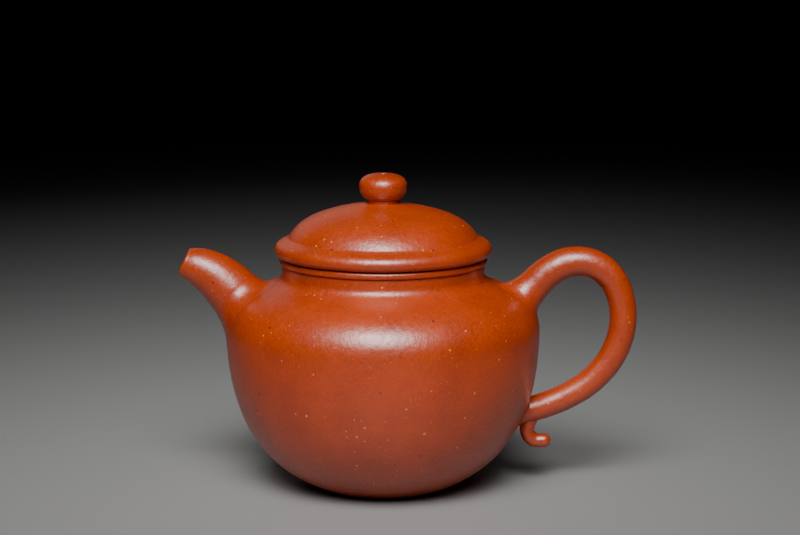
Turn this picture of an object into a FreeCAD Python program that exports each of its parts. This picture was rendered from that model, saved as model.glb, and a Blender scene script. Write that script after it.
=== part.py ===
import FreeCAD, Part
import math
import os

from FreeCAD import Vector

# Small round clay teapot with a cap lid, a curved spout and a loop handle.
# Millimetres. +Z is up, -X is the spout side and +X is the handle side.
# The origin is the centre of the ring that the pot stands on.

# Pot wall: a rounded bowl that closes over into a nearly flat shoulder.
foot_radius = 16.0
foot_land = 1.2
foot_angle = 22.0
foot_pull = 12.0
belly_radius = 39.2
belly_height = 39.6
bowl_pull = 26.0
wall = 2.4
belly_pull = 6.2
seam_inset = 8.2
seam_rise = 10.6
shoulder_angle = 22.0
shoulder_pull = 3.8

# Base: a disc pressed up into a shallow hollow, so that only its edge ring stands on the table.
base_hollow = 1.3
base_thickness = 2.6
base_turn = 3.0
base_pull = 7.4

# Neck, mouth bead and bore for the lid's flange.
mouth_bore = 23.4
neck_wall = 1.9
neck_foot_rise = 4.1
flare_seam_pull = 3.2
flare_neck_pull = 2.2
throat_pull = 1.6
throat_seam_pull = 3.4
neck_height = 2.1
bead_height = 1.9
bead_overhang = 0.65
bead_round = 0.85
bead_belly = 0.85

# Lid: a rolled rim, a domed plate and a flange that hangs into the mouth.
flange_clearance = 0.3
flange_wall = 2.2
flange_depth = 6.4
flange_round = 0.8
luting_gap = 0.03
rim_overhang = 1.8
rim_seat_edge = 1.9
rim_seat_pull = 1.2
rim_belly = 1.75
rim_belly_pull = 0.95
rim_shoulder_pull = 1.0
rim_top = 3.7
rim_top_inset = 1.15
rim_crest_angle = 150.0
rim_crest_pull = 0.6
rim_dome_pull = 0.7
dome_overlap = 0.2
dome_foot = 5.0
dome_foot_angle = 56.0
dome_foot_pull = 3.6
dome_top = 13.0
dome_top_angle = 9.0
dome_top_pull = 13.6
dome_under_pull = 11.2
dome_thickness = 2.5

# Knob: a plump flattened ball on a short waist, over a thin disc, with the vent hole down its middle.
collar_radius = 5.9
collar_height = 0.35
knob_radius = 5.95
knob_height = 7.3
knob_middle = 4.25
knob_waist = 3.9
knob_waist_height = 0.85
knob_foot_angle = 25.0
knob_foot_pull = 1.3
knob_lower_pull = 1.75
knob_upper_pull = 2.0
knob_top_pull = 3.1
vent_radius = 0.8

# Spout: a tapered tube on one curve, wide where it leaves the wall.
# Its root and tip, like the handle's points, are (out from the belly, up from the belly's height).
spout_root_place = (-9.2, -1.3)
spout_root_angle = 58.5
spout_root_pull = 13.3
spout_tip_place = (10.7, 17.2)
spout_tip_angle = 13.5
spout_tip_pull = 8.7
spout_cut_angle = 26.0
spout_tip_radius = 3.35
spout_body_radius = 8.0
spout_taper = 0.62
spout_root_flare = 2.0
spout_flare_fade = 5
spout_tip_wall = 1.35
spout_root_wall = 2.3
spout_sections = 9
spout_past_tip = 2.5

# Strainer: a thin pierced half-ball inside the wall, over the spout's hole.
strainer_margin = 1.7
strainer_wall = 1.5
strainer_hole_radius = 0.65
strainer_rings = ((0, 1), (24, 6), (48, 12))

# Handle: a round coil of clay in one loop. Its centre line passes through these places.
handle_places = [
    (-5.6, 5.0),
    (-2.0, 10.4),
    (2.1, 14.5),
    (7.6, 17.0),
    (13.5, 16.5),
    (18.2, 12.7),
    (20.7, 6.2),
    (20.7, -0.6),
    (18.0, -7.5),
    (13.1, -13.2),
    (7.0, -17.2),
    (1.0, -19.7),
    (-4.4, -21.2),
]
handle_root_radius = 5.7
handle_top_radius = 4.25
handle_back_radius = 3.4
handle_end_radius = 3.15
handle_root_share = 0.16
handle_sections = 26

# Tail: the coil's end, drawn down from the lower root and curled outwards to a round nub.
# Its places count from the handle's last point.
tail_places = [(3.8, 0.6), (2.1, -2.2), (1.6, -5.2), (3.1, -7.3), (5.8, -7.5)]
tail_radius = 1.7
tail_tip_radius = 1.5
tail_sections = 9

# Sizes that follow from the ones above.
seam_radius = belly_radius - seam_inset
seam_height = belly_height + seam_rise
neck_radius = mouth_bore + neck_wall
neck_foot_height = seam_height + neck_foot_rise
neck_top = neck_foot_height + neck_height
mouth_height = neck_top + bead_height
flange_radius = mouth_bore - flange_clearance
rim_radius = neck_radius + rim_overhang
dome_radius = mouth_bore + dome_overlap
collar_top = mouth_height + dome_top + collar_height
strainer_radius = spout_body_radius - spout_root_wall + strainer_margin
spout_root = (-(belly_radius + spout_root_place[0]), belly_height + spout_root_place[1])
spout_tip = (-(belly_radius + spout_tip_place[0]), belly_height + spout_tip_place[1])
handle_route = [(belly_radius + out, belly_height + up) for out, up in handle_places]
tail_route = [(handle_route[-1][0] + out, handle_route[-1][1] + up) for out, up in tail_places]

axis = Vector(0, 0, 1)
origin = Vector(0, 0, 0)
arc_corner = 1 - math.sqrt(0.5)


def direction(angle):
    """Unit step in the outline plane, at an angle in degrees above +x."""
    return math.cos(math.radians(angle)), math.sin(math.radians(angle))


def step(point, angle, length):
    across, up = direction(angle)
    return point[0] + length * across, point[1] + length * up


def at(point):
    return Vector(point[0], 0, point[1])


def line(start, end):
    return Part.LineSegment(at(start), at(end)).toShape()


def arc(start, through, end):
    return Part.Arc(at(start), at(through), at(end)).toShape()


def bezier(poles):
    curve = Part.BezierCurve()
    curve.setPoles([at(pole) for pole in poles])
    return curve.toShape()


def turned(edges):
    """Solid of revolution about Z from a closed outline of x, z edges."""
    solid = Part.Face(Part.Wire(edges)).revolve(origin, axis, 360)
    if solid.Volume < 0:
        solid.reverse()
    return solid


def inset(poles, start_angle, end_angle, depth):
    """The same curve moved square to itself, to the left of its direction, by a depth."""
    first, second, third, fourth = poles
    return [
        step(first, start_angle + 90, depth),
        step(second, start_angle + 90, depth),
        step(third, end_angle + 90, depth),
        step(fourth, end_angle + 90, depth),
    ]


# Outlines of the pot.

foot = (foot_radius, 0)
belly = (belly_radius, belly_height)
seam = (seam_radius, seam_height)
inward = 180 - shoulder_angle

bowl_poles = [
    foot,
    step(foot, foot_angle, foot_pull),
    (belly_radius, belly_height - bowl_pull),
    belly,
]
crown_poles = [
    belly,
    (belly_radius, belly_height + belly_pull),
    step(seam, inward, -shoulder_pull),
    seam,
]
bowl_inner = inset(bowl_poles, foot_angle, 90, wall)
crown_inner = inset(crown_poles, 90, inward, wall)
neck_foot = (neck_radius, neck_foot_height)
flare_poles = [
    seam,
    step(seam, inward, flare_seam_pull),
    (neck_radius, neck_foot_height - flare_neck_pull),
    neck_foot,
]


def pot_outside():
    """Everything inside the pot's outer surface, up to the neck."""
    top = (0, neck_foot_height)
    return turned([
        line((0, 0), foot),
        bezier(bowl_poles),
        bezier(crown_poles),
        bezier(flare_poles),
        line(neck_foot, top),
        line(top, (0, 0)),
    ])


def pot_inside():
    """The hollow of the pot between the base and the shoulder."""
    bottom = bowl_inner[0]
    top = crown_inner[3]
    return turned([
        line((0, bottom[1]), bottom),
        bezier(bowl_inner),
        bezier(crown_inner),
        line(top, (0, top[1])),
        line((0, top[1]), (0, bottom[1])),
    ])


def make_wall():
    ring = foot_radius - foot_land
    return turned([
        line((ring, 0), foot),
        bezier(bowl_poles),
        bezier(crown_poles),
        line(seam, crown_inner[3]),
        bezier(list(reversed(crown_inner))),
        bezier(list(reversed(bowl_inner))),
        line(bowl_inner[0], (ring, bowl_inner[0][1])),
        line((ring, bowl_inner[0][1]), (ring, 0)),
    ])


def make_base():
    edge = foot_radius - foot_land
    under = (0, base_hollow)
    over = (0, base_hollow + base_thickness)
    rim = (edge, bowl_inner[0][1])
    return turned([
        bezier([(edge, 0), (edge - base_turn, base_hollow), (base_pull, base_hollow), under]),
        line(under, over),
        bezier([over, (base_pull, over[1]), (edge - base_turn, over[1]), rim]),
        line(rim, (edge, 0)),
    ])


def make_shoulder():
    inner_seam = crown_inner[3]
    throat = (mouth_bore, neck_foot_height - wall)
    return turned([
        bezier(flare_poles),
        line(neck_foot, (mouth_bore, neck_foot_height)),
        line((mouth_bore, neck_foot_height), throat),
        bezier([
            throat,
            (mouth_bore, throat[1] - throat_pull),
            step(inner_seam, inward, throat_seam_pull),
            inner_seam,
        ]),
        line(inner_seam, seam),
    ])


def make_neck():
    return turned([
        line((mouth_bore, neck_foot_height), neck_foot),
        line(neck_foot, (neck_radius, neck_top)),
        line((neck_radius, neck_top), (mouth_bore, neck_top)),
        line((mouth_bore, neck_top), (mouth_bore, neck_foot_height)),
    ])


def make_mouth_bead():
    start = (neck_radius, neck_top)
    widest = (neck_radius + bead_overhang, neck_top + bead_belly)
    end = (widest[0] - bead_round, mouth_height)
    return turned([
        line((mouth_bore, neck_top), start),
        arc(start, widest, end),
        line(end, (mouth_bore, mouth_height)),
        line((mouth_bore, mouth_height), (mouth_bore, neck_top)),
    ])


# Lid. Heights in its outlines count from the mouth plane that it rests on.

def lid(radius, height):
    return radius, mouth_height + height


rim_crest = lid(rim_radius - rim_top_inset, rim_top)
dome_edge = lid(dome_radius, dome_foot)
dome_crest = lid(collar_radius, dome_top)


def make_lid_rim():
    seat_edge = lid(rim_radius - rim_seat_edge, 0)
    widest = lid(rim_radius, rim_belly)
    return turned([
        line(lid(dome_radius, 0), seat_edge),
        bezier([
            seat_edge,
            step(seat_edge, 0, rim_seat_pull),
            step(widest, 90, -rim_belly_pull),
            widest,
        ]),
        bezier([
            widest,
            step(widest, 90, rim_shoulder_pull),
            step(rim_crest, rim_crest_angle, -rim_crest_pull),
            rim_crest,
        ]),
        bezier([
            rim_crest,
            step(rim_crest, rim_crest_angle, rim_crest_pull),
            step(dome_edge, 180 - dome_foot_angle, -rim_dome_pull),
            dome_edge,
        ]),
        line(dome_edge, lid(dome_radius, 0)),
    ])


def make_lid_dome():
    dome_poles = [
        dome_edge,
        step(dome_edge, 180 - dome_foot_angle, dome_foot_pull),
        step(dome_crest, 180 - dome_top_angle, -dome_top_pull),
        dome_crest,
    ]
    under_crest = (collar_radius, dome_crest[1] - dome_thickness)
    inner_foot = lid(dome_radius - dome_thickness, dome_foot - dome_thickness)
    skirt = lid(dome_radius - dome_thickness, 0)
    return turned([
        line(skirt, lid(dome_radius, 0)),
        line(lid(dome_radius, 0), dome_edge),
        bezier(dome_poles),
        line(dome_crest, (vent_radius, dome_crest[1])),
        line((vent_radius, dome_crest[1]), (vent_radius, under_crest[1])),
        line((vent_radius, under_crest[1]), under_crest),
        bezier([
            under_crest,
            step(under_crest, 180 - dome_top_angle, -dome_under_pull),
            (inner_foot[0], inner_foot[1] + dome_foot_pull),
            inner_foot,
        ]),
        line(inner_foot, skirt),
    ])


def make_lid_flange():
    inner = flange_radius - flange_wall
    top = -luting_gap
    bottom = -flange_depth
    turn = flange_round
    middle = turn * arc_corner
    return turned([
        line(lid(inner, top), lid(inner, bottom + turn)),
        arc(
            lid(inner, bottom + turn),
            lid(inner + middle, bottom + middle),
            lid(inner + turn, bottom),
        ),
        line(lid(inner + turn, bottom), lid(flange_radius - turn, bottom)),
        arc(
            lid(flange_radius - turn, bottom),
            lid(flange_radius - middle, bottom + middle),
            lid(flange_radius, bottom + turn),
        ),
        line(lid(flange_radius, bottom + turn), lid(flange_radius, top)),
        line(lid(flange_radius, top), lid(inner, top)),
    ])


def make_knob_collar():
    bottom = mouth_height + dome_top
    shelf = collar_radius - collar_height
    middle = collar_height * arc_corner
    return turned([
        line((vent_radius, bottom), (collar_radius, bottom)),
        arc((collar_radius, bottom), (collar_radius - middle, collar_top - middle), (shelf, collar_top)),
        line((shelf, collar_top), (vent_radius, collar_top)),
        line((vent_radius, collar_top), (vent_radius, bottom)),
    ])


def make_knob():
    waist = (knob_waist, collar_top + knob_waist_height)
    widest = (knob_radius, collar_top + knob_middle)
    crown = (vent_radius, collar_top + knob_height)
    return turned([
        line((vent_radius, collar_top), (knob_waist, collar_top)),
        line((knob_waist, collar_top), waist),
        bezier([waist, step(waist, knob_foot_angle, knob_foot_pull), step(widest, 90, -knob_lower_pull),
                widest]),
        bezier([widest, step(widest, 90, knob_upper_pull), step(crown, 0, knob_top_pull), crown]),
        line(crown, (vent_radius, collar_top)),
    ])


# Spout, strainer, handle and tail.

def spread(count):
    """Evenly spaced shares from 0 to 1."""
    return [index / (count - 1) for index in range(count)]


def tube(centres, directions, radii):
    """Solid through circles that stand square to a route in the XZ plane."""
    sections = []
    for centre, heading, radius in zip(centres, directions, radii):
        sections.append(Part.Wire(Part.Circle(centre, heading, radius).toShape()))
    solid = Part.makeLoft(sections, True)
    if solid.Volume < 0:
        solid.reverse()
    return solid


def spout_curve():
    curve = Part.BezierCurve()
    curve.setPoles([
        at(spout_root),
        at(step(spout_root, 180 - spout_root_angle, spout_root_pull)),
        at(step(spout_tip, 180 - spout_tip_angle, -spout_tip_pull)),
        at(spout_tip),
    ])
    return curve


def spout_radius(share):
    """Outer radius from the root, at 0, to the tip, at 1, without the flare at the root."""
    return spout_tip_radius + (spout_body_radius - spout_tip_radius) * (1 - share) ** spout_taper


def spout_stations():
    """Shares, centres and headings of the spout's sections, from root to tip and a little past it."""
    curve = spout_curve()
    shares = spread(spout_sections)
    centres = [curve.value(share) for share in shares]
    headings = [curve.tangent(share)[0] for share in shares]
    return (
        shares + [1.0],
        centres + [centres[-1] + headings[-1] * spout_past_tip],
        headings + [headings[-1]],
    )


def spout_outside():
    """The spout's solid form, cut off at the tip by a plane that leans back from the curve."""
    shares, centres, headings = spout_stations()
    radii = [spout_radius(share) + spout_root_flare * (1 - share) ** spout_flare_fade for share in shares]
    size = 2 * spout_body_radius
    beyond = Part.makeBox(size, size, size, Vector(-size / 2, -size / 2, 0))
    beyond.Placement = FreeCAD.Placement(
        at(spout_tip),
        FreeCAD.Rotation(axis, at(direction(180 - spout_cut_angle))),
    ).multiply(beyond.Placement)
    return tube(centres, headings, radii).cut(beyond)


def spout_bore():
    """The channel inside the spout, run on through the pot's wall and past the tip."""
    shares, centres, headings = spout_stations()
    radii = []
    for share in shares:
        thickness = spout_root_wall + (spout_tip_wall - spout_root_wall) * share
        radii.append(spout_radius(share) - thickness)
    return tube(centres, headings, radii)


def strainer_place():
    """Where the spout's centre line meets the wall's inner surface, and its heading there."""
    curve = spout_curve()
    heading = curve.tangent(0)[0]
    start = curve.value(0)
    reach = heading * belly_radius
    track = Part.LineSegment(start - reach, start + reach).toShape()
    inside = track.common(pot_inside())
    end = max((vertex.Point for vertex in inside.Vertexes), key=lambda point: (point - start).dot(heading))
    return end, heading


def make_strainer():
    centre, heading = strainer_place()
    ball = Part.makeSphere(strainer_radius, centre)
    shell = ball.cut(Part.makeSphere(strainer_radius - strainer_wall, centre))
    shell = shell.common(pot_inside())
    inward_heading = heading * -1
    across = Vector(0, 1, 0)
    for tilt, count in strainer_rings:
        for index in range(count):
            turn = FreeCAD.Rotation(inward_heading, 360 * index / count)
            lean = FreeCAD.Rotation(across, tilt)
            aim = turn.multVec(lean.multVec(inward_heading))
            drill = Part.makeCylinder(strainer_hole_radius, strainer_radius + strainer_wall, centre, aim)
            shell = shell.cut(drill)
    return shell


def handle_curve():
    curve = Part.BSplineCurve()
    curve.interpolate([at(point) for point in handle_route])
    return curve


def handle_radius(share):
    """Radius along the coil: widest at the upper root, then thinning round the loop to its end."""
    root = (handle_root_radius - handle_top_radius) * max(0, 1 - share / handle_root_share) ** 2
    if share < 0.5:
        return handle_top_radius + root + (handle_back_radius - handle_top_radius) * share * 2
    return handle_back_radius + (handle_end_radius - handle_back_radius) * (share * 2 - 1)


def handle_tube():
    curve = handle_curve()
    first, last = curve.FirstParameter, curve.LastParameter
    shares = spread(handle_sections)
    spots = [first + (last - first) * share for share in shares]
    radii = [handle_radius(share) for share in shares]
    return tube([curve.value(spot) for spot in spots], [curve.tangent(spot)[0] for spot in spots], radii)


def tail_tube():
    curve = Part.BSplineCurve()
    curve.interpolate([at(point) for point in tail_route])
    first, last = curve.FirstParameter, curve.LastParameter
    shares = spread(tail_sections)
    spots = [first + (last - first) * share for share in shares]
    radii = [tail_radius + (tail_tip_radius - tail_radius) * share for share in shares]
    coil = tube([curve.value(spot) for spot in spots], [curve.tangent(spot)[0] for spot in spots], radii)
    return coil.fuse(Part.makeSphere(tail_tip_radius, curve.value(last))).removeSplitter()


pot_solid = pot_outside()
bore = spout_bore()
handle = handle_tube()

shapes = {
    "body_wall": make_wall().cut(bore),
    "base_disc": make_base(),
    "shoulder_disc": make_shoulder(),
    "neck_ring": make_neck(),
    "mouth_bead": make_mouth_bead(),
    "spout": spout_outside().cut(bore).cut(pot_solid),
    "spout_strainer": make_strainer(),
    "handle": handle.cut(pot_solid),
    "handle_tail": tail_tube().cut(handle).cut(pot_solid),
    "lid_flange": make_lid_flange(),
    "lid_rim": make_lid_rim(),
    "lid_dome": make_lid_dome(),
    "knob_collar": make_knob_collar(),
    "knob": make_knob(),
}

os.makedirs("parts", exist_ok=True)
for node, shape in shapes.items():
    solids = shape.Solids
    volume = sum(solid.Volume for solid in solids)
    print(f"{node}: {len(solids)} solid, {volume:.0f} mm3, valid {shape.isValid()}")
    if len(solids) == 1:
        shape = solids[0]
    shape.exportStep(f"parts/{node}.step")
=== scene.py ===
import math

import bmesh
import bpy
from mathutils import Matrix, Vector, noise
from mathutils.bvhtree import BVHTree
from mathutils.geometry import interpolate_bezier


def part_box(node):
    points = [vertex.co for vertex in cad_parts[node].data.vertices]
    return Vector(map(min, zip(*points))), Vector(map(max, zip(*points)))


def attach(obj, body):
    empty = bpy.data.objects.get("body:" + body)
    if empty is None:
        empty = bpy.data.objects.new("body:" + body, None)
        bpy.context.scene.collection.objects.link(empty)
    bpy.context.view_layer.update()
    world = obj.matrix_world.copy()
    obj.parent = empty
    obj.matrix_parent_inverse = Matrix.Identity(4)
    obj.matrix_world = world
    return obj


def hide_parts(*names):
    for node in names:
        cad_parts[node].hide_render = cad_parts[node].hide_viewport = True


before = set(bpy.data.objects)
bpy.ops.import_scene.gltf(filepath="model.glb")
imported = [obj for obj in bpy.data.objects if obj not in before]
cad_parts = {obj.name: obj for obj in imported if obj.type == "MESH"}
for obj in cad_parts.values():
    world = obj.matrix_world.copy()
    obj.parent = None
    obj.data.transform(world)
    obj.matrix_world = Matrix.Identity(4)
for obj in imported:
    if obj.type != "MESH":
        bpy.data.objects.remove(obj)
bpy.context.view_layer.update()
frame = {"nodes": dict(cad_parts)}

# A small round teapot of unglazed red clay, with a cap lid, a curved spout and a loop handle.
# Metres, +Z up. The spout points to -X and the handle to +X.

scene = bpy.context.scene
mergeDistance = 1e-6
turnSteps = 224
missReach = 0.004   # how far ahead a tube's line looks for a surface that it passes by
print("frame loaded:", ", ".join(frame["nodes"]))


# Clay

clayLook = {
    "clay": (0.38, 0.033, 0.001, 1),
    "paleClay": (0.47, 0.058, 0.004, 1),
    "deepClay": (0.28, 0.021, 0.0007, 1),
    "sand": (0.85, 0.24, 0.045, 1),
    "iron": (0.06, 0.008, 0.001, 1),
    "roughness": 0.37,
    "roughnessSpread": 0.09,
    "specular": 1.0,
    "grainSize": 0.00045,
    "dimpleSize": 0.0012,
    "cloudSize": 0.012,
    "sandSpacing": 0.0020,
    "sandDensity": 0.55,
    "sandSize": 0.17,   # of the spacing, as for the dust and iron
    "sandStrength": 0.75,
    "dustSpacing": 0.0012,
    "dustDensity": 0.6,
    "dustSize": 0.18,
    "dustStrength": 0.40,
    "ironSpacing": 0.0030,
    "ironDensity": 0.4,
    "ironSize": 0.13,
    "ironStrength": 0.85,
    "grainHeight": 0.00003,
    "dimpleHeight": 0.00008,
    "speckHeight": 0.00008,
}


def makeSpeckGroup():
    # sparse round grains: a mask of one grain in the middle of some of the cells, each of its own size
    group = bpy.data.node_groups.new("sandGrains", "ShaderNodeTree")
    group.interface.new_socket(name="Vector", in_out="INPUT", socket_type="NodeSocketVector")
    group.interface.new_socket(name="Density", in_out="INPUT", socket_type="NodeSocketFloat")
    group.interface.new_socket(name="Size", in_out="INPUT", socket_type="NodeSocketFloat")
    group.interface.new_socket(name="Mask", in_out="OUTPUT", socket_type="NodeSocketFloat")
    nodes, links = group.nodes, group.links
    entry = nodes.new("NodeGroupInput")
    leave = nodes.new("NodeGroupOutput")
    cells = nodes.new("ShaderNodeTexVoronoi")
    cells.inputs["Scale"].default_value = 1
    chance = nodes.new("ShaderNodeSeparateColor")
    links.new(entry.outputs["Vector"], cells.inputs["Vector"])
    links.new(cells.outputs["Color"], chance.inputs[0])
    grainSize = nodes.new("ShaderNodeMath")
    grainSize.operation = "MULTIPLY"
    links.new(chance.outputs[0], grainSize.inputs[0])
    links.new(entry.outputs["Size"], grainSize.inputs[1])
    edge = nodes.new("ShaderNodeMath")
    edge.operation = "SUBTRACT"
    links.new(grainSize.outputs[0], edge.inputs[0])
    links.new(cells.outputs["Distance"], edge.inputs[1])
    soft = nodes.new("ShaderNodeMath")
    soft.operation = "MULTIPLY"
    soft.inputs[1].default_value = 40
    soft.use_clamp = True
    links.new(edge.outputs[0], soft.inputs[0])
    chosen = nodes.new("ShaderNodeMath")
    chosen.operation = "LESS_THAN"
    links.new(chance.outputs[1], chosen.inputs[0])
    links.new(entry.outputs["Density"], chosen.inputs[1])
    mask = nodes.new("ShaderNodeMath")
    mask.operation = "MULTIPLY"
    links.new(soft.outputs[0], mask.inputs[0])
    links.new(chosen.outputs[0], mask.inputs[1])
    links.new(mask.outputs[0], leave.inputs["Mask"])
    return group


def makeClay():
    material = bpy.data.materials.new("redClay")
    material.use_nodes = True
    nodes, links = material.node_tree.nodes, material.node_tree.links
    shader = nodes["Principled BSDF"]
    shader.inputs["Specular IOR Level"].default_value = clayLook["specular"]
    where = nodes.new("ShaderNodeTexCoord")

    def texture(size, detail, roughness):
        made = nodes.new("ShaderNodeTexNoise")
        made.inputs["Scale"].default_value = 1 / size
        made.inputs["Detail"].default_value = detail
        made.inputs["Roughness"].default_value = roughness
        links.new(where.outputs["Object"], made.inputs["Vector"])
        return made.outputs["Fac"]

    def grains(kind, shift):
        scaled = nodes.new("ShaderNodeMapping")
        scaled.inputs["Location"].default_value = shift
        scaled.inputs["Scale"].default_value = [1 / clayLook[kind + "Spacing"]] * 3
        links.new(where.outputs["Object"], scaled.inputs["Vector"])
        speck = nodes.new("ShaderNodeGroup")
        speck.node_tree = speckGroup
        speck.inputs["Density"].default_value = clayLook[kind + "Density"]
        speck.inputs["Size"].default_value = clayLook[kind + "Size"]
        links.new(scaled.outputs["Vector"], speck.inputs["Vector"])
        return speck.outputs["Mask"]

    def blend(factor, first, second):
        mix = nodes.new("ShaderNodeMix")
        mix.data_type = "RGBA"
        links.new(factor, mix.inputs[0])
        for socket, value in ((mix.inputs[6], first), (mix.inputs[7], second)):
            if isinstance(value, tuple):
                socket.default_value = value
            else:
                links.new(value, socket)
        return mix.outputs[2]

    def spread(value, low, high, outLow, outHigh):
        change = nodes.new("ShaderNodeMapRange")
        change.inputs["From Min"].default_value = low
        change.inputs["From Max"].default_value = high
        change.inputs["To Min"].default_value = outLow
        change.inputs["To Max"].default_value = outHigh
        links.new(value, change.inputs["Value"])
        return change.outputs["Result"]

    def weigh(value, weight):
        product = nodes.new("ShaderNodeMath")
        product.operation = "MULTIPLY"
        product.inputs[1].default_value = weight
        links.new(value, product.inputs[0])
        return product.outputs[0]

    def add(first, second):
        total = nodes.new("ShaderNodeMath")
        total.operation = "ADD"
        links.new(first, total.inputs[0])
        links.new(second, total.inputs[1])
        return total.outputs[0]

    cloud = texture(clayLook["cloudSize"], 3, 0.55)
    grain = texture(clayLook["grainSize"], 2, 0.6)
    dimple = texture(clayLook["dimpleSize"], 2, 0.5)
    sand = grains("sand", (0, 0, 0))
    dust = grains("dust", (5.3, 1.7, 8.1))
    iron = grains("iron", (2.9, 6.1, 4.4))
    tone = blend(spread(cloud, 0.35, 0.65, 0, 1), clayLook["deepClay"], clayLook["clay"])
    tone = blend(spread(grain, 0.35, 0.7, 0, 0.6), tone, clayLook["paleClay"])
    tone = blend(weigh(dust, clayLook["dustStrength"]), tone, clayLook["sand"])
    tone = blend(weigh(sand, clayLook["sandStrength"]), tone, clayLook["sand"])
    tone = blend(weigh(iron, clayLook["ironStrength"]), tone, clayLook["iron"])
    links.new(tone, shader.inputs["Base Color"])
    low = clayLook["roughness"] - clayLook["roughnessSpread"] / 2
    links.new(spread(dimple, 0.3, 0.7, low, low + clayLook["roughnessSpread"]), shader.inputs["Roughness"])
    relief = add(weigh(grain, clayLook["grainHeight"]), weigh(dimple, clayLook["dimpleHeight"]))
    relief = add(relief, weigh(sand, clayLook["speckHeight"]))
    bump = nodes.new("ShaderNodeBump")
    bump.inputs["Strength"].default_value = 1
    bump.inputs["Distance"].default_value = 1
    links.new(relief, bump.inputs["Height"])
    links.new(bump.outputs["Normal"], shader.inputs["Normal"])
    return material


speckGroup = makeSpeckGroup()
clay = makeClay()
print("clay made")


# Modelling helpers

hand = {
    "waveDepth": 0.00009,   # how far beating and scraping by hand moves the surface
    "waveLength": 0.014,
    "dimpleDepth": 0.000015,
    "dimpleLength": 0.0045,
    "drift": Vector((3.1, 7.7, 1.3)),
}


def direction(angle):
    return Vector((math.cos(math.radians(angle)), 0, math.sin(math.radians(angle))))


def place(radius, height):
    return Vector((radius, 0, height))


def sweepCurve(start, startAngle, startPull, end, endAngle, endPull, count):
    # a smooth stretch of the XZ plane, left and reached at an angle
    return interpolate_bezier(
        start, start + direction(startAngle) * startPull,
        end - direction(endAngle) * endPull, end, count)


def roundArc(centre, radius, startAngle, endAngle, count):
    steps = [startAngle + (endAngle - startAngle) * i / (count - 1) for i in range(count)]
    return [centre + direction(angle) * radius for angle in steps]


def chain(*stretches):
    # joins stretches of outline and drops the points that two of them share
    points = []
    for stretch in stretches:
        for point in stretch:
            if not points or (point - points[-1]).length > mergeDistance:
                points.append(point)
    return points


def handFormed(shell):
    for vert in shell.verts:
        slow = noise.noise_vector(vert.co / hand["waveLength"] + hand["drift"])
        quick = noise.noise_vector(vert.co / hand["dimpleLength"])
        vert.co += slow * hand["waveDepth"] + quick * hand["dimpleDepth"]


def finishPiece(name, shell, body, nodes, sharpAngle=40):
    bmesh.ops.remove_doubles(shell, verts=shell.verts, dist=mergeDistance)
    bmesh.ops.recalc_face_normals(shell, faces=shell.faces)
    handFormed(shell)
    mesh = bpy.data.meshes.new(name)
    shell.to_mesh(mesh)
    shell.free()
    mesh.shade_smooth()
    mesh.set_sharp_from_angle(angle=math.radians(sharpAngle))
    piece = bpy.data.objects.new(name, mesh)
    scene.collection.objects.link(piece)
    mesh.materials.append(clay)
    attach(piece, body)
    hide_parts(*nodes)
    return piece


def turnedShell(outline, closed=True):
    # an outline of the XZ plane, turned once round Z
    shell = bmesh.new()
    verts = [shell.verts.new(point) for point in outline]
    for first, second in zip(verts, verts[1:]):
        shell.edges.new((first, second))
    if closed:
        shell.edges.new((verts[-1], verts[0]))
    bmesh.ops.spin(
        shell, geom=list(shell.verts) + list(shell.edges), cent=(0, 0, 0), axis=(0, 0, 1),
        dvec=(0, 0, 0), angle=2 * math.pi, steps=turnSteps, use_merge=True, use_duplicate=False)
    return shell


def ringPlaces(centre, heading, radius, sides):
    # points round a tube that runs in the XZ plane, first the one at +Y
    across = Vector((0, 1, 0))
    up = heading.cross(across)
    angles = [2 * math.pi * i / sides for i in range(sides)]
    return [centre + across * (radius * math.cos(a)) + up * (radius * math.sin(a)) for a in angles]


def startRing(shell, places):
    ring = bmesh.ops.create_circle(shell, cap_ends=False, segments=len(places), radius=0.001)["verts"]
    for vert, spot in zip(ring, places):
        vert.co = spot
    return ring


def ringEdges(shell, ring):
    return [shell.edges.get((first, second)) for first, second in zip(ring, ring[1:] + ring[:1])]


def pullRing(shell, ring, places):
    # extrudes a ring of edges and sets the new ring in its place, vertex by vertex
    made = bmesh.ops.extrude_edge_only(shell, edges=ringEdges(shell, ring))
    fresh = {item for item in made["geom"] if isinstance(item, bmesh.types.BMVert)}
    pulled = [next(e.other_vert(v) for e in v.link_edges if e.other_vert(v) in fresh) for v in ring]
    for vert, spot in zip(pulled, places):
        vert.co = spot
    return pulled


def joinRings(shell, first, second):
    bmesh.ops.bridge_loops(shell, edges=ringEdges(shell, first) + ringEdges(shell, second))


def capRing(shell, ring):
    # closes a ring with a fan round its own middle
    middle = sum((vert.co for vert in ring), Vector()) / len(ring)
    bmesh.ops.pointmerge(shell, verts=pullRing(shell, ring, [middle] * len(ring)), merge_co=middle)


def landOn(tree, start, heading):
    # where a line of a tube meets a surface, or the nearest place on it if the line passes by
    hit, normal, index, distance = tree.ray_cast(start, heading)
    if hit is None:
        hit, normal, index, distance = tree.find_nearest(start + heading * missReach)
    return hit, normal


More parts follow.
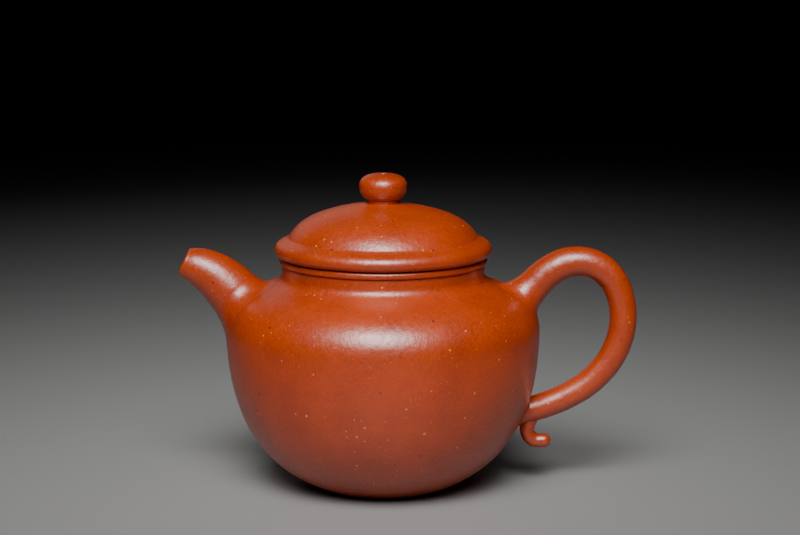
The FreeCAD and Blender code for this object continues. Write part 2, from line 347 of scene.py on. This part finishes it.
def skirtOnto(shell, tree, ring, centre, heading, look):
    # lets a tube's end flare out until it lies on the surface that it grows from
    paths = []
    for vert in ring:
        outward = (vert.co - centre).normalized()
        hit, normal = landOn(tree, vert.co, heading)
        away = (outward - normal * outward.dot(normal)).normalized()
        upper = (outward.z + 1) / 2
        reach = look["reachBelow"] + (look["reachAbove"] - look["reachBelow"]) * upper
        foot, footNormal, index, distance = tree.find_nearest(hit + away * reach)
        lead = foot - hit
        lead = (lead - footNormal * lead.dot(footNormal)).normalized()
        drop = (hit - vert.co).length
        paths.append(interpolate_bezier(
            vert.co, vert.co + heading * (drop * look["tubePull"]),
            foot - lead * (reach * look["footPull"]), foot - footNormal * look["sink"], look["rings"]))
    for step in range(1, look["rings"]):
        ring = pullRing(shell, ring, [path[step] for path in paths])
    return ring


# Pot body

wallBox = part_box("body_wall")
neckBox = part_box("neck_ring")
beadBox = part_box("mouth_bead")
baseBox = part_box("base_disc")
potShape = {
    "wall": 0.0024,
    "footLand": 0.0012,
    "footAngle": 22,
    "footPull": 0.012,
    "bellyHeight": 0.0396,
    "bowlPull": 0.026,
    "bellyPull": 0.0062,
    "seamRadius": 0.031,
    "shoulderAngle": 22,
    "shoulderPull": 0.0038,
    "flarePull": 0.0032,
    "neckPull": 0.0022,
    "mouthBore": 0.0234,
    "throatPull": 0.0016,
    "throatSeamPull": 0.0034,
    "beadRound": 0.00085,
    "mouthRound": 0.0004,
    "baseHollow": 0.0013,
    "baseTurn": 24,
    "baseTurnPull": 0.003,
    "baseFlatShare": 0.4,
}
bellyRadius = wallBox[1][0]
seamHeight = wallBox[1][2]
footRadius = baseBox[1][0] + potShape["footLand"]
neckRadius = neckBox[1][0]
neckFoot = neckBox[0][2]
neckTop = neckBox[1][2]
mouthHeight = beadBox[1][2]
beadRadius = beadBox[1][0]
inward = 180 - potShape["shoulderAngle"]


def bowlOutline(depth, count):
    # the wall's line from foot to shoulder seam, moved inwards by a depth
    foot = place(footRadius, 0) + direction(potShape["footAngle"] + 90) * depth
    belly = place(bellyRadius - depth, potShape["bellyHeight"])
    seam = place(potShape["seamRadius"], seamHeight) + direction(inward + 90) * depth
    return chain(
        sweepCurve(foot, potShape["footAngle"], potShape["footPull"], belly, 90, potShape["bowlPull"], count),
        sweepCurve(belly, 90, potShape["bellyPull"], seam, inward, potShape["shoulderPull"], count * 2 // 3))


def flareOutline(count):
    seam = place(potShape["seamRadius"], seamHeight)
    return sweepCurve(
        seam, inward, potShape["flarePull"], place(neckRadius, neckFoot), 90, potShape["neckPull"], count)


def makeWall():
    outer = bowlOutline(0, 72)
    inner = bowlOutline(potShape["wall"], 30)
    land = footRadius - potShape["footLand"]
    bottom = [place(land, inner[0].z), place(land, 0)]
    return turnedShell(chain(outer, list(reversed(inner)), bottom))


def makeBase():
    edge = footRadius - potShape["footLand"]
    rim = bowlOutline(potShape["wall"], 4)[0].z
    under = potShape["baseHollow"]
    top = baseBox[1][2]
    turn, pull = potShape["baseTurn"], potShape["baseTurnPull"]
    flat = edge * potShape["baseFlatShare"]
    return turnedShell(chain(
        sweepCurve(place(0, under), 0, flat, place(edge, 0), -turn, pull, 24),
        sweepCurve(place(edge, rim), 180 - turn, pull, place(0, top), 180, flat, 20)), closed=False)


def makeShoulder():
    bore = potShape["mouthBore"]
    innerSeam = place(potShape["seamRadius"], seamHeight) + direction(inward + 90) * potShape["wall"]
    throat = place(bore, neckFoot - potShape["wall"])
    return turnedShell(chain(
        flareOutline(40),
        [place(bore, neckFoot)],
        sweepCurve(
            throat, 270, potShape["throatPull"],
            innerSeam, -potShape["shoulderAngle"], potShape["throatSeamPull"], 16)))


def makeNeck():
    bore = potShape["mouthBore"]
    side = [place(neckRadius, neckFoot + (neckTop - neckFoot) * i / 6) for i in range(7)]
    return turnedShell(chain([place(bore, neckFoot)], side, [place(bore, neckTop)]))


def makeBead():
    bore = potShape["mouthBore"]
    turn = potShape["beadRound"]
    lip = potShape["mouthRound"]
    side = neckTop + turn
    top = mouthHeight - turn
    return turnedShell(chain(
        [place(bore, neckTop)],
        roundArc(place(beadRadius - turn, side), turn, -60, 0, 12),
        roundArc(place(beadRadius - turn, top), turn, 12, 90, 16),
        roundArc(place(bore + lip, mouthHeight - lip), lip, 90, 180, 6)))


wall = finishPiece("bodyWall", makeWall(), "pot", ["body_wall"])
finishPiece("baseDisc", makeBase(), "pot", ["base_disc"])
finishPiece("shoulderDisc", makeShoulder(), "pot", ["shoulder_disc"])
finishPiece("neckRing", makeNeck(), "pot", ["neck_ring"])
finishPiece("mouthBead", makeBead(), "pot", ["mouth_bead"])
print("pot body turned")


outside = turnedShell(chain(bowlOutline(0, 120), flareOutline(50)), closed=False)
potTree = BVHTree.FromBMesh(outside)
outside.free()


# Spout

spoutShape = {
    "root": place(-0.0300, 0.0383),
    "rootAngle": 121.5,
    "rootPull": 0.0133,
    "tip": place(-0.0499, 0.0568),
    "tipAngle": 166.5,
    "tipPull": 0.0087,
    "cutAngle": 154,
    "cutStart": 0.7,
    "cutEase": 1.5,
    "tipRadius": 0.00335,
    "bodyRadius": 0.0080,
    "taper": 0.62,
    "tipWall": 0.00125,
    "rootWall": 0.0023,
    "skirtShare": 0.44,
    "underWall": 0.0004,
    "drillLength": 0.018,
    "sides": 96,
    "rings": 40,
    "lipRings": 10,
}
spoutSkirt = {
    "reachAbove": 0.0030,
    "reachBelow": 0.0070,
    "tubePull": 0.45,
    "footPull": 0.75,
    "sink": 0.00003,
    "rings": 18,
}


def spoutStation(share):
    # centre and heading of the spout's curve, from the root at 0 to the tip at 1
    first = spoutShape["root"]
    last = spoutShape["tip"]
    second = first + direction(spoutShape["rootAngle"]) * spoutShape["rootPull"]
    third = last - direction(spoutShape["tipAngle"]) * spoutShape["tipPull"]
    rest = 1 - share
    centre = (
        first * rest ** 3 + second * (3 * rest ** 2 * share)
        + third * (3 * rest * share ** 2) + last * share ** 3)
    heading = (
        (second - first) * rest ** 2 + (third - second) * (2 * rest * share)
        + (last - third) * share ** 2)
    nearTip = max(0, (share - spoutShape["cutStart"]) / (1 - spoutShape["cutStart"]))
    lean = nearTip ** spoutShape["cutEase"]
    return centre, heading.normalized().lerp(direction(spoutShape["cutAngle"]), lean).normalized()


def spoutRadius(share):
    swell = spoutShape["bodyRadius"] - spoutShape["tipRadius"]
    return spoutShape["tipRadius"] + swell * (1 - share) ** spoutShape["taper"]


def boreRadius(share):
    thinning = spoutShape["tipWall"] - spoutShape["rootWall"]
    return spoutRadius(share) - spoutShape["rootWall"] - thinning * share


def spoutRing(share, radius):
    centre, heading = spoutStation(share)
    return ringPlaces(centre, heading, radius, spoutShape["sides"])


def makeSpout():
    # up the channel, over the rounded lip, down the outside and out onto the wall
    shell = bmesh.new()
    foot = spoutShape["skirtShare"]
    centre, heading = spoutStation(foot)
    landings = [landOn(potTree, spot, -heading) for spot in spoutRing(foot, boreRadius(foot))]
    first = startRing(shell, [hit - normal * spoutShape["underWall"] for hit, normal in landings])
    ring = first
    lipShare = 1 - spoutShape["tipWall"] / 2 / (spoutShape["tip"] - spoutShape["root"]).length
    climb = [foot + (lipShare - foot) * i / spoutShape["rings"] for i in range(spoutShape["rings"] + 1)]
    for share in climb:
        ring = pullRing(shell, ring, spoutRing(share, boreRadius(share)))
    tipCentre, tipHeading = spoutStation(lipShare)
    middle = (spoutRadius(lipShare) + boreRadius(lipShare)) / 2
    half = (spoutRadius(lipShare) - boreRadius(lipShare)) / 2
    for i in range(1, spoutShape["lipRings"]):
        turn = direction(180 - 180 * i / spoutShape["lipRings"])
        over = tipCentre + tipHeading * (half * turn.z)
        ring = pullRing(shell, ring, ringPlaces(
            over, tipHeading, middle + half * turn.x, spoutShape["sides"]))
    for share in reversed(climb):
        ring = pullRing(shell, ring, spoutRing(share, spoutRadius(share)))
    last = skirtOnto(shell, potTree, ring, centre, -heading, spoutSkirt)
    joinRings(shell, last, first)
    return shell


def cutSpoutHole(wallPiece):
    # opens the wall under the spout, so that tea can reach the channel
    shell = bmesh.new()
    centre, heading = spoutStation(spoutShape["skirtShare"])
    radius = boreRadius(spoutShape["skirtShare"])
    ring = startRing(shell, ringPlaces(centre, heading, radius, spoutShape["sides"]))
    inner = pullRing(shell, ring, ringPlaces(
        centre - heading * spoutShape["drillLength"], heading, radius, spoutShape["sides"]))
    capRing(shell, inner)
    bmesh.ops.contextual_create(shell, geom=ringEdges(shell, ring))
    bmesh.ops.recalc_face_normals(shell, faces=shell.faces)
    drillMesh = bpy.data.meshes.new("spoutDrill")
    shell.to_mesh(drillMesh)
    shell.free()
    drill = bpy.data.objects.new("spoutDrill", drillMesh)
    scene.collection.objects.link(drill)
    cut = wallPiece.modifiers.new("spoutHole", "BOOLEAN")
    cut.operation = "DIFFERENCE"
    cut.solver = "EXACT"
    cut.object = drill
    solidMesh = wallPiece.data
    wallPiece.data = bpy.data.meshes.new_from_object(
        wallPiece.evaluated_get(bpy.context.evaluated_depsgraph_get()))
    wallPiece.modifiers.clear()
    bpy.data.objects.remove(drill)
    bpy.data.meshes.remove(drillMesh)
    bpy.data.meshes.remove(solidMesh)


finishPiece("spout", makeSpout(), "pot", ["spout"])
cutSpoutHole(wall)
print("spout pulled and its hole cut")


# Handle

handleShape = {
    "route": [
        (33.6, 44.6), (37.2, 50.0), (41.3, 54.1), (46.8, 56.6), (52.7, 56.1), (57.4, 52.3), (59.9, 45.8),
        (59.9, 39.0), (57.2, 32.1), (52.3, 26.4), (46.2, 22.4), (40.2, 19.9), (34.8, 18.4)],
    "rootRadius": 0.0057,
    "topRadius": 0.00425,
    "backRadius": 0.0034,
    "endRadius": 0.0032,
    "rootShare": 0.16,
    "startShare": 0.13,
    "endShare": 0.955,
    "sides": 72,
    "rings": 110,
}
upperSkirt = {
    "reachAbove": 0.0045,
    "reachBelow": 0.0018,
    "tubePull": 0.5,
    "footPull": 0.8,
    "sink": 0.00003,
    "rings": 16,
}
lowerSkirt = {
    "reachAbove": 0.0009,
    "reachBelow": 0.0009,
    "tubePull": 0.6,
    "footPull": 0.8,
    "sink": 0.00003,
    "rings": 8,
}


def smoothRoute(points, count):
    # centres and headings, evenly spread over a smooth line through the points
    spots = [place(x / 1000, z / 1000) for x, z in points]
    leads = [spots[min(i + 1, len(spots) - 1)] - spots[max(i - 1, 0)] for i in range(len(spots))]
    line = []
    for i in range(len(spots) - 1):
        pull = (spots[i + 1] - spots[i]).length / 3
        line += interpolate_bezier(
            spots[i], spots[i] + leads[i].normalized() * pull,
            spots[i + 1] - leads[i + 1].normalized() * pull, spots[i + 1], 33)[:-1]
    line.append(spots[-1])
    centres = []
    for i in range(count):
        where = (len(line) - 1) * i / (count - 1)
        index = min(int(where), len(line) - 2)
        centres.append(line[index].lerp(line[index + 1], where - index))
    headings = [(centres[min(i + 1, count - 1)] - centres[max(i - 1, 0)]).normalized() for i in range(count)]
    return centres, headings


def handleRadius(share):
    # thickest at the upper root, then thinning to the back of the loop and to its end
    root, top = handleShape["rootRadius"], handleShape["topRadius"]
    back, end = handleShape["backRadius"], handleShape["endRadius"]
    swell = (root - top) * max(0, 1 - share / handleShape["rootShare"]) ** 2
    if share < 0.5:
        return top + swell + (back - top) * share * 2
    return back + (end - back) * (share * 2 - 1)


def makeHandle():
    shell = bmesh.new()
    count = handleShape["rings"] + 1
    centres, headings = smoothRoute(handleShape["route"], count)
    first = round(handleShape["startShare"] * handleShape["rings"])
    last = round(handleShape["endShare"] * handleShape["rings"])
    top = startRing(shell, ringPlaces(
        centres[first], headings[first], handleRadius(first / handleShape["rings"]), handleShape["sides"]))
    ring = top
    for i in range(first + 1, last + 1):
        radius = handleRadius(i / handleShape["rings"])
        ring = pullRing(shell, ring, ringPlaces(centres[i], headings[i], radius, handleShape["sides"]))
    capRing(shell, skirtOnto(shell, potTree, ring, centres[last], headings[last], lowerSkirt))
    capRing(shell, skirtOnto(shell, potTree, top, centres[first], -headings[first], upperSkirt))
    return shell


finishPiece("handle", makeHandle(), "pot", ["handle"])
print("handle bent")


# Tail

tailShape = {
    "route": [(38.6, 19.0), (36.9, 16.2), (36.4, 13.2), (37.9, 11.1), (40.6, 10.9)],
    "radius": 0.0020,
    "tipRadius": 0.0017,
    "startShare": 0.12,
    "sides": 48,
    "rings": 40,
    "tipRings": 12,
}


def makeTail():
    shell = bmesh.new()
    count = tailShape["rings"] + 1
    centres, headings = smoothRoute(tailShape["route"], count)
    first = round(tailShape["startShare"] * tailShape["rings"])
    thinning = tailShape["tipRadius"] - tailShape["radius"]
    radii = [tailShape["radius"] + thinning * i / (count - 1) for i in range(count)]
    start = startRing(shell, ringPlaces(centres[first], headings[first], radii[first], tailShape["sides"]))
    ring = start
    for i in range(first + 1, count):
        ring = pullRing(shell, ring, ringPlaces(centres[i], headings[i], radii[i], tailShape["sides"]))
    for i in range(1, tailShape["tipRings"]):
        turn = direction(90 * i / tailShape["tipRings"])
        over = centres[-1] + headings[-1] * (radii[-1] * turn.z)
        ring = pullRing(shell, ring, ringPlaces(over, headings[-1], radii[-1] * turn.x, tailShape["sides"]))
    capRing(shell, ring)
    capRing(shell, start)
    return shell


finishPiece("handleTail", makeTail(), "pot", ["handle_tail"])
print("tail curled")


# Lid

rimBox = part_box("lid_rim")
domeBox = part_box("lid_dome")
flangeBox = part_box("lid_flange")
lidShape = {
    "seatEdge": 0.0019,
    "seatPull": 0.0012,
    "rimBelly": 0.00175,
    "rimBellyPull": 0.00095,
    "rimShoulderPull": 0.0010,
    "rimTop": 0.0037,
    "rimTopInset": 0.00115,
    "crestAngle": 150,
    "crestPull": 0.0006,
    "domePull": 0.0007,
    "domeFoot": 0.0050,
    "domeFootAngle": 124,
    "domeFootPull": 0.0036,
    "crestRadius": 0.0059,
    "domeTopAngle": 171,
    "domeTopPull": 0.0136,
    "underPull": 0.0112,
    "thickness": 0.0025,
    "vent": 0.0008,
    "flangeWall": 0.0022,
    "flangeRound": 0.0008,
    "seatGap": 0.00012,
}
rimRadius = rimBox[1][0]
domeRadius = domeBox[1][0]
lidTop = domeBox[1][2]
domeEdge = place(domeRadius, mouthHeight + lidShape["domeFoot"])
seatHeight = mouthHeight + lidShape["seatGap"]   # the hand-formed faces turn over each other clear


def makeRim():
    seat = place(rimRadius - lidShape["seatEdge"], seatHeight)
    belly = place(rimRadius, mouthHeight + lidShape["rimBelly"])
    crest = place(rimRadius - lidShape["rimTopInset"], mouthHeight + lidShape["rimTop"])
    inner = [place(domeRadius, mouthHeight + lidShape["domeFoot"] * i / 3) for i in (2, 1)]
    return turnedShell(chain(
        [place(domeRadius, seatHeight)],
        sweepCurve(seat, 0, lidShape["seatPull"], belly, 90, lidShape["rimBellyPull"], 14),
        sweepCurve(
            belly, 90, lidShape["rimShoulderPull"],
            crest, lidShape["crestAngle"], lidShape["crestPull"], 16),
        sweepCurve(
            crest, lidShape["crestAngle"], lidShape["crestPull"],
            domeEdge, lidShape["domeFootAngle"], lidShape["domePull"], 20),
        inner))


def makeDome():
    vent = lidShape["vent"]
    crest = place(lidShape["crestRadius"], lidTop)
    under = place(lidShape["crestRadius"], lidTop - lidShape["thickness"])
    innerFoot = domeEdge - place(lidShape["thickness"], lidShape["thickness"])
    back = direction(lidShape["domeTopAngle"] + 180)
    return turnedShell(chain(
        [place(innerFoot.x, seatHeight), place(domeRadius, seatHeight)],
        sweepCurve(
            domeEdge, lidShape["domeFootAngle"], lidShape["domeFootPull"],
            crest, lidShape["domeTopAngle"], lidShape["domeTopPull"], 60),
        [place(vent, lidTop), place(vent, lidTop - lidShape["thickness"])],
        interpolate_bezier(
            under, under + back * lidShape["underPull"],
            innerFoot + place(0, lidShape["domeFootPull"]), innerFoot, 30)))


def makeFlange():
    low = Vector(flangeBox[0])
    high = Vector(flangeBox[1])
    turn = lidShape["flangeRound"]
    inner = high.x - lidShape["flangeWall"]
    return turnedShell(chain(
        [place(inner, high.z)],
        roundArc(place(inner + turn, low.z + turn), turn, 180, 270, 10),
        roundArc(place(high.x - turn, low.z + turn), turn, 270, 360, 10),
        [place(high.x, high.z)]))


finishPiece("lidRim", makeRim(), "lid", ["lid_rim"])
finishPiece("lidDome", makeDome(), "lid", ["lid_dome"])
finishPiece("lidFlange", makeFlange(), "lid_seat", ["lid_flange"])
print("lid turned")


# Knob

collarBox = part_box("knob_collar")
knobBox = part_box("knob")
knobShape = {
    "vent": 0.0008,
    "middle": 0.00425,
    "waist": 0.0039,
    "waistHeight": 0.00085,
    "footAngle": 25,
    "footPull": 0.0013,
    "lowerPull": 0.00175,
    "upperPull": 0.0020,
    "topPull": 0.0031,
    "ventRound": 0.0003,
    "collarSlope": 0.0016,
}


def makeCollar():
    low = Vector(collarBox[0])
    high = Vector(collarBox[1])
    edge = place(high.x, low.z)
    top = place(high.x - knobShape["collarSlope"], high.z)
    return turnedShell(chain(
        [place(knobShape["vent"], low.z)],
        sweepCurve(edge, 165, knobShape["collarSlope"] / 3, top, 180, knobShape["collarSlope"] / 3, 12),
        [place(knobShape["vent"], high.z)]))


def makeKnob():
    seat = knobBox[0][2]
    top = knobBox[1][2]
    vent = knobShape["vent"]
    turn = knobShape["ventRound"]
    waist = place(knobShape["waist"], seat + knobShape["waistHeight"])
    widest = place(knobBox[1][0], seat + knobShape["middle"])
    return turnedShell(chain(
        [place(knobShape["waist"], seat)],
        sweepCurve(
            waist, knobShape["footAngle"], knobShape["footPull"],
            widest, 90, knobShape["lowerPull"], 32),
        sweepCurve(
            widest, 90, knobShape["upperPull"],
            place(vent + turn, top), 180, knobShape["topPull"], 36),
        roundArc(place(vent + turn, top - turn), turn, 90, 180, 7),
        [place(vent, seat)]))


finishPiece("knobCollar", makeCollar(), "lid", ["knob_collar"])
finishPiece("knob", makeKnob(), "lid", ["knob"])
print("knob shaped")


# Strainer: the frame's own piece, in the same clay

strainer = frame["nodes"]["spout_strainer"]
for slot in strainer.material_slots:
    slot.material = clay


# Studio

studio = {
    "floorSize": 12,
    "floor": (0.24, 0.237, 0.234, 1),
    "floorRoughness": 0.6,
    "air": (0.0005, 0.0005, 0.0006, 1),
    "aim": (0, -0.03, 0.05),
    "lights": {
        "key": {"at": (-0.02, -0.31, 0.36), "size": (0.34, 0.28), "power": 0.58, "reach": 50},
        "backFill": {"at": (-0.25, 0.55, 0.30), "size": (0.50, 0.30), "power": 0.04, "reach": 90},
    },
}
cameraSet = {
    "aim": (0.0042, 0, 0.0553),
    "distance": 0.56,
    "height": 9.7,   # degrees above level
    "lens": 100.8,
    "sensor": 36,
}


def makeFloor():
    shell = bmesh.new()
    bmesh.ops.create_grid(shell, x_segments=1, y_segments=1, size=studio["floorSize"] / 2)
    mesh = bpy.data.meshes.new("floor")
    shell.to_mesh(mesh)
    shell.free()
    material = bpy.data.materials.new("palePaper")
    material.use_nodes = True
    shader = material.node_tree.nodes["Principled BSDF"]
    shader.inputs["Base Color"].default_value = studio["floor"]
    shader.inputs["Roughness"].default_value = studio["floorRoughness"]
    mesh.materials.append(material)
    floor = bpy.data.objects.new("floor", mesh)
    scene.collection.objects.link(floor)


def aimAt(item, target):
    item.rotation_euler = (Vector(target) - item.location).to_track_quat("-Z", "Y").to_euler()


def makeLights():
    for name, look in studio["lights"].items():
        lamp = bpy.data.lights.new(name, "AREA")
        lamp.shape = "RECTANGLE"
        lamp.size, lamp.size_y = look["size"]
        lamp.energy = look["power"]
        lamp.spread = math.radians(look["reach"])
        holder = bpy.data.objects.new(name, lamp)
        holder.location = look["at"]
        aimAt(holder, studio["aim"])
        scene.collection.objects.link(holder)
    world = bpy.data.worlds.new("studioAir")
    world.use_nodes = True
    world.node_tree.nodes["Background"].inputs["Color"].default_value = studio["air"]
    scene.world = world


def makeCamera():
    lens = bpy.data.cameras.new("camera")
    lens.lens = cameraSet["lens"]
    lens.sensor_width = cameraSet["sensor"]
    lens.clip_start = 0.01
    holder = bpy.data.objects.new("camera", lens)
    tilt = math.radians(cameraSet["height"])
    aim = Vector(cameraSet["aim"])
    holder.location = aim + Vector((0, -math.cos(tilt), math.sin(tilt))) * cameraSet["distance"]
    aimAt(holder, aim)
    scene.collection.objects.link(holder)
    scene.camera = holder


makeFloor()
makeLights()
makeCamera()
print("studio set")
